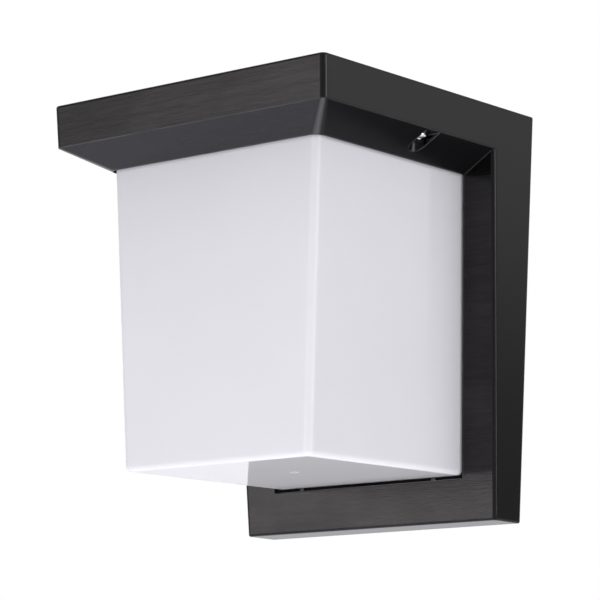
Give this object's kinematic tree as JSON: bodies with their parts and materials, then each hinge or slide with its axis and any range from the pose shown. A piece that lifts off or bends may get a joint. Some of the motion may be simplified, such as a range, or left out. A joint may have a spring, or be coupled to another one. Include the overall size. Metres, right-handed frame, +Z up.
{
  "type": "outdoor wall lantern",
  "caption": "Downlight wall lantern: square black canopy with a bevelled rim and back plate, and a tapered opal shade hung under it.",
  "frame": {"origin": "on the wall plane, midway between the two wall screw slots", "axes": "+Z up, +Y into the wall, +X to the right seen from the front"},
  "size_m": [0.13, 0.1191, 0.15],
  "materials": {
    "black_casting": "fine-textured black powder coat on die-cast aluminium",
    "opal_shade": "satin opal acrylic",
    "black_rubber": "soft closed-cell seal",
    "white_sheet": "white coated sheet",
    "bright_steel": "plain stainless steel",
    "zinc_steel": "zinc plated steel",
    "plain_aluminium": "mill finish sheet",
    "white_board": "white solder mask on an aluminium board",
    "grey_pad": "soft thermal pad",
    "yellow_chip": "phosphor-filled chip",
    "pale_case": "moulded plastic",
    "brass_screw": "plain brass",
    "lead_cover": "wire insulation"
  },
  "bodies": {
    "base": {"wall_gasket": "black_rubber", "wall_plate": "zinc_steel", "cable_grommet": "black_rubber", "cable_clamp": "pale_case", "cable_clamp_screws": "zinc_steel", "led_tray": "plain_aluminium", "tray_bolts": "zinc_steel", "thermal_pad": "grey_pad", "led_board": "white_board", "led_chips": "yellow_chip", "board_screws": "bright_steel", "led_driver": "pale_case", "driver_screws": "zinc_steel", "terminal_block": "pale_case", "terminal_ear_screws": "zinc_steel", "terminal_screws": "brass_screw", "earth_washer": "brass_screw", "earth_screw": "brass_screw", "supply_leads": "lead_cover", "led_leads": "lead_cover", "earth_lead": "lead_cover"},
    "cover": {"housing": "black_casting", "shade": "opal_shade", "seat_gasket": "black_rubber", "window_gasket": "black_rubber", "rear_reflector": "white_sheet", "reflector_screws": "bright_steel", "clamp_nuts": "bright_steel"},
    "screw_left": {"fixing_screw_left": "bright_steel"},
    "screw_right": {"fixing_screw_right": "bright_steel"}
  },
  "joints": [
    {"name": "cover_slide", "type": "slide", "parent": "base", "child": "cover", "axis": [0, -1, 0], "range_m": [0, 0.11]},
    {"name": "screw_left_turn", "type": "hinge", "parent": "cover", "child": "screw_left", "pos_m": [-0.05701, -0.0575, 0.059], "axis": [0, 0, 1], "continuous": true},
    {"name": "screw_right_turn", "type": "hinge", "parent": "cover", "child": "screw_right", "pos_m": [0.05701, -0.0575, 0.059], "axis": [0, 0, 1], "continuous": true}
  ]
}
